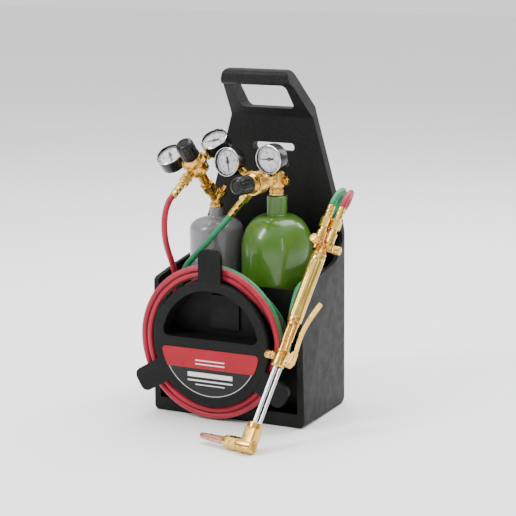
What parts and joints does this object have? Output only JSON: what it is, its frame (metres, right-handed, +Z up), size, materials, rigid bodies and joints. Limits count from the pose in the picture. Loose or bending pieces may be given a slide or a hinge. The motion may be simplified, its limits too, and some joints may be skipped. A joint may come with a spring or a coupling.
{
  "type": "oxy acetylene torch cart",
  "caption": "Hand-carried oxy acetylene outfit: moulded carrier holding two cylinders, regulators with gauges, coiled twin hose on a drum and a cutting torch.",
  "frame": {"origin": "centre of the carrier's footprint, on the surface that it stands on", "axes": "+Z up; +X to the right of someone facing the hose drum; +Y toward the rear panel"},
  "size_m": [0.3834, 0.3928, 0.632],
  "materials": {
    "carrier": "fine moulded texture",
    "drum": "satin",
    "label": "printed film",
    "grey_paint": "gloss",
    "green_paint": "gloss",
    "brass": "machined",
    "steel": "machined",
    "chrome": "polished",
    "copper": "machined copper",
    "knob_plastic": "satin",
    "handwheel": "satin",
    "gauge_case": "gloss",
    "needle": "satin",
    "lens": "clear",
    "red_rubber": "satin",
    "green_rubber": "satin"
  },
  "bodies": {
    "root": {"carrier_shell": "carrier", "hose_drum": "drum", "drum_label": "label", "acetylene_cylinder": "grey_paint", "oxygen_cylinder": "green_paint", "acetylene_valve_body": "brass", "oxygen_valve_body": "brass", "acetylene_inlet_nut": "brass", "acetylene_regulator_body": "brass", "acetylene_bonnet": "brass", "acetylene_outlet_fitting": "brass", "acetylene_hose_ferrule": "brass", "acetylene_hose_gauge_case": "gauge_case", "acetylene_hose_gauge_lens": "lens", "acetylene_cylinder_gauge_case": "gauge_case", "acetylene_cylinder_gauge_lens": "lens", "oxygen_inlet_nut": "brass", "oxygen_regulator_body": "brass", "oxygen_bonnet": "brass", "oxygen_outlet_fitting": "brass", "oxygen_hose_ferrule": "brass", "oxygen_hose_gauge_case": "gauge_case", "oxygen_hose_gauge_lens": "lens", "oxygen_cylinder_gauge_case": "gauge_case", "oxygen_cylinder_gauge_lens": "lens", "torch_head": "brass", "tip_nut": "brass", "cutting_tip": "copper", "head_tube_left": "chrome", "head_tube_middle": "chrome", "head_tube_right": "chrome", "attachment_block": "brass", "lever_pin": "steel", "coupling_tubes": "brass", "torch_handle": "brass", "rear_valve_body": "brass", "fuel_check_valve": "brass", "fuel_torch_ferrule": "brass", "oxygen_check_valve": "brass", "oxygen_torch_ferrule": "brass", "hose_coil": "red_rubber", "red_supply_hose": "red_rubber", "green_supply_hose": "green_rubber", "red_torch_hose": "red_rubber", "green_torch_hose": "green_rubber"},
    "acetylene_adjusting_knob": {"acetylene_adjusting_knob": "knob_plastic"},
    "oxygen_adjusting_knob": {"oxygen_adjusting_knob": "knob_plastic"},
    "acetylene_valve_key": {"acetylene_valve_key": "brass"},
    "oxygen_valve_handwheel": {"oxygen_valve_handwheel": "handwheel"},
    "acetylene_hose_gauge_needle": {"acetylene_hose_gauge_needle": "needle"},
    "acetylene_cylinder_gauge_needle": {"acetylene_cylinder_gauge_needle": "needle"},
    "oxygen_hose_gauge_needle": {"oxygen_hose_gauge_needle": "needle"},
    "oxygen_cylinder_gauge_needle": {"oxygen_cylinder_gauge_needle": "needle"},
    "fuel_knob": {"fuel_knob": "brass"},
    "oxygen_knob": {"oxygen_knob": "brass"},
    "preheat_knob": {"preheat_knob": "brass"},
    "cutting_lever": {"cutting_lever": "brass"},
    "lever_plunger": {"lever_plunger": "steel"}
  },
  "joints": [
    {"name": "acetylene_adjusting_screw", "type": "hinge", "parent": "root", "child": "acetylene_adjusting_knob", "pos_m": [-0.09744, -0.06284, 0.48347], "axis": [-0.1061, -0.6134, 0.7826], "range_deg": [-1080, 0]},
    {"name": "oxygen_adjusting_screw", "type": "hinge", "parent": "root", "child": "oxygen_adjusting_knob", "pos_m": [0.02444, -0.07676, 0.43205], "axis": [-0.1901, -0.9817, -0.01], "range_deg": [-1080, 0]},
    {"name": "acetylene_valve_stem", "type": "hinge", "parent": "root", "child": "acetylene_valve_key", "pos_m": [-0.08, 0.014, 0.386], "axis": [0.5593, 0, 0.829], "range_deg": [0, 540]},
    {"name": "oxygen_valve_stem", "type": "hinge", "parent": "root", "child": "oxygen_valve_handwheel", "pos_m": [0.0435, 0.0165, 0.455], "axis": [0, 0, 1], "range_deg": [0, 1080]},
    {"name": "acetylene_hose_needle_pivot", "type": "hinge", "parent": "root", "child": "acetylene_hose_gauge_needle", "pos_m": [-0.14831, -0.04045, 0.47087], "axis": [-0.1061, -0.6134, 0.7826], "range_deg": [-270, 0]},
    {"name": "acetylene_cylinder_needle_pivot", "type": "hinge", "parent": "root", "child": "acetylene_cylinder_gauge_needle", "pos_m": [-0.06785, -0.01634, 0.50068], "axis": [-0.1061, -0.6134, 0.7826], "range_deg": [-270, 0]},
    {"name": "oxygen_hose_needle_pivot", "type": "hinge", "parent": "root", "child": "oxygen_hose_gauge_needle", "pos_m": [-0.02304, -0.04931, 0.46844], "axis": [-0.1318, -0.9881, 0.0788], "range_deg": [-270, 0]},
    {"name": "oxygen_cylinder_needle_pivot", "type": "hinge", "parent": "root", "child": "oxygen_cylinder_gauge_needle", "pos_m": [0.07089, -0.06766, 0.48075], "axis": [-0.13, -0.9895, -0.0626], "range_deg": [-270, 0]},
    {"name": "fuel_valve_stem", "type": "hinge", "parent": "root", "child": "fuel_knob", "pos_m": [0.19909, -0.06216, 0.32415], "axis": [0.9891, 0.0152, -0.1465], "range_deg": [0, 540]},
    {"name": "oxygen_torch_valve_stem", "type": "hinge", "parent": "root", "child": "oxygen_knob", "pos_m": [0.16858, -0.08442, 0.34566], "axis": [-0.1084, -0.8194, 0.5629], "range_deg": [0, 540]},
    {"name": "preheat_valve_stem", "type": "hinge", "parent": "root", "child": "preheat_knob", "pos_m": [0.12167, -0.17497, 0.15234], "axis": [-0.9794, 0.202, 0], "range_deg": [0, 540]},
    {"name": "cutting_lever_pivot", "type": "hinge", "parent": "root", "child": "cutting_lever", "pos_m": [0.16264, -0.18918, 0.14408], "axis": [0.1668, 0.8088, -0.5639], "range_deg": [-6, 0], "stiffness_Nm_per_rad": 8},
    {"name": "plunger_slide", "type": "slide", "parent": "root", "child": "lever_plunger", "axis": [0.9794, -0.202, 0], "range_m": [-0.0013, 0]}
  ],
  "couplings": [
    {"joint": "plunger_slide", "follows": "cutting_lever_pivot", "m_per_rad": 0.0115}
  ]
}
